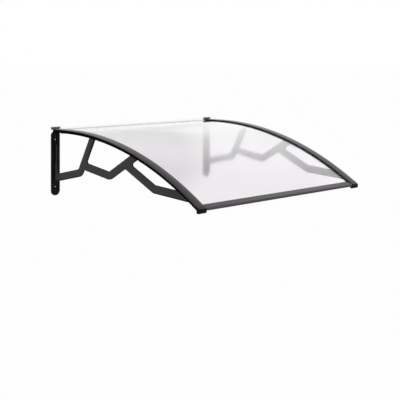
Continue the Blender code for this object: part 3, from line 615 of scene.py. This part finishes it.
def white_sky(sky):
    """Even light from all round, plain white behind the canopy, and a room in its reflections."""
    world = bpy.data.worlds.new("studio")
    world.use_nodes = True
    tree = world.node_tree
    tree.nodes.clear()
    direction = add_node(tree, "ShaderNodeTexCoord").outputs["Generated"]
    rise = add_node(tree, "ShaderNodeSeparateXYZ", {"Vector": direction}).outputs["Z"]
    room = add_node(tree, "ShaderNodeFloatCurve", {"Value": rise})
    points = room.mapping.curves[0].points
    # The ends go first, because a new point moves the others in memory.
    points[0].location, points[1].location = ROOM_LIGHT[0], ROOM_LIGHT[-1]
    for sine, brightness in ROOM_LIGHT[1:-1]:
        points.new(sine, brightness)
    room.mapping.update()
    ray = add_node(tree, "ShaderNodeLightPath").outputs
    mirrored = add_node(tree, "ShaderNodeMath", {
        0: ray["Is Glossy Ray"], 1: ray["Is Transmission Ray"]}, operation="MAXIMUM")
    # The camera sees plain white, what mirrors or passes light shows the room, and the rest of the
    # light is even.
    around = add_node(tree, "ShaderNodeMapRange", {
        "Value": mirrored.outputs[0], "To Min": sky, "To Max": room.outputs["Value"]})
    level = add_node(tree, "ShaderNodeMapRange", {
        "Value": ray["Is Camera Ray"], "To Min": around.outputs["Result"], "To Max": 1.0})
    glow = add_node(tree, "ShaderNodeBackground", {
        "Color": WHITE, "Strength": level.outputs["Result"]})
    add_node(tree, "ShaderNodeOutputWorld", {"Surface": glow.outputs["Background"]})
    bpy.context.scene.world = world


def studio_floor(colours, glow):
    """Matt painted floor that is seen nearly as white as the sky and still takes a shadow."""
    material, tree, point = new_material("studio_floor")
    speck_mm = 30
    speck = add_node(tree, "ShaderNodeTexNoise", {
        "Vector": point, "Scale": 1000 / speck_mm, "Detail": 2.0})
    roughness = add_node(tree, "ShaderNodeMapRange", {
        "Value": speck.outputs["Fac"], **NOISE_RANGE, "To Min": 0.85, "To Max": 0.95})
    paint = add_node(tree, "ShaderNodeBsdfPrincipled", {
        "Base Color": (*colours.floor, 1.0), "Roughness": roughness.outputs["Result"],
        "Specular IOR Level": 0.0})
    white = add_node(tree, "ShaderNodeEmission", {"Color": WHITE, "Strength": 1.0})
    ray = add_node(tree, "ShaderNodeLightPath").outputs
    seen = add_node(tree, "ShaderNodeMath", {
        0: ray["Is Camera Ray"], 1: ray["Is Transmission Ray"]}, operation="MAXIMUM")
    share = add_node(tree, "ShaderNodeMath", {0: seen.outputs[0], 1: glow}, operation="MULTIPLY")
    mixed = add_node(tree, "ShaderNodeMixShader", {
        0: share.outputs[0], 1: paint.outputs["BSDF"], 2: white.outputs["Emission"]})
    add_node(tree, "ShaderNodeOutputMaterial", {"Surface": mixed.outputs["Shader"]})
    return material


class CANOPY_OT_stage(bpy.types.Operator):
    """Floor, even white light, one soft lamp and the camera"""
    bl_idname = "canopy.stage"
    bl_label = "Studio"

    def execute(self, context):
        scene, studio = context.scene, context.scene.canopy_studio
        build = bmesh.new()
        bmesh.ops.create_grid(build, x_segments=1, y_segments=1, size=studio.floor_reach)
        bmesh.ops.translate(build, verts=build.verts, vec=(0.0, 0.0, -studio.floor_drop))
        paint = studio_floor(scene.canopy_colours, studio.floor_glow)
        new_piece("floor", build, paint, scene.canopy_sizes.round_angle)
        white_sky(studio.sky_light)
        add_softbox(studio)
        camera = bpy.data.cameras.new("camera")
        camera.lens = studio.lens
        camera.shift_y = studio.shift_up
        view = bpy.data.objects.new("camera", camera)
        view.location = studio.camera_place
        view.rotation_euler = (math.radians(90), 0.0, studio.camera_turn)
        scene.collection.objects.link(view)
        scene.camera = view
        scene.view_settings.view_transform = "Standard"
        return {"FINISHED"}


OPERATORS = (
    CANOPY_OT_sheet, CANOPY_OT_brackets, CANOPY_OT_strips, CANOPY_OT_front_bar, CANOPY_OT_caps,
    CANOPY_OT_seals, CANOPY_OT_wall_seal, CANOPY_OT_fixings, CANOPY_OT_stage)


class CANOPY_PT_panel(bpy.types.Panel):
    """Lists the sizes, the colours and the steps that build the canopy"""
    bl_idname = "CANOPY_PT_panel"
    bl_label = "Door canopy"
    bl_space_type = "VIEW_3D"
    bl_region_type = "UI"
    bl_category = "Canopy"

    def draw(self, context):
        scene = context.scene
        for group in (scene.canopy_sizes, scene.canopy_colours, scene.canopy_studio):
            box = self.layout.box()
            for name in type(group).__annotations__:
                box.prop(group, name)
        for operator in OPERATORS:
            self.layout.operator(operator.bl_idname)


GROUPS = {
    "canopy_sizes": CanopySizes, "canopy_colours": CanopyColours, "canopy_studio": CanopyStudio}


def register():
    for item in (*GROUPS.values(), *OPERATORS, CANOPY_PT_panel):
        bpy.utils.register_class(item)
    for name, group in GROUPS.items():
        setattr(bpy.types.Scene, name, PointerProperty(type=group))


def unregister():
    for name in GROUPS:
        delattr(bpy.types.Scene, name)
    for item in (CANOPY_PT_panel, *reversed(OPERATORS), *reversed(list(GROUPS.values()))):
        bpy.utils.unregister_class(item)


def main():
    """Build the canopy and its studio."""
    register()
    for operator in OPERATORS:
        group, name = operator.bl_idname.split(".")
        getattr(getattr(bpy.ops, group), name)()


if __name__ == "__main__":
    main()
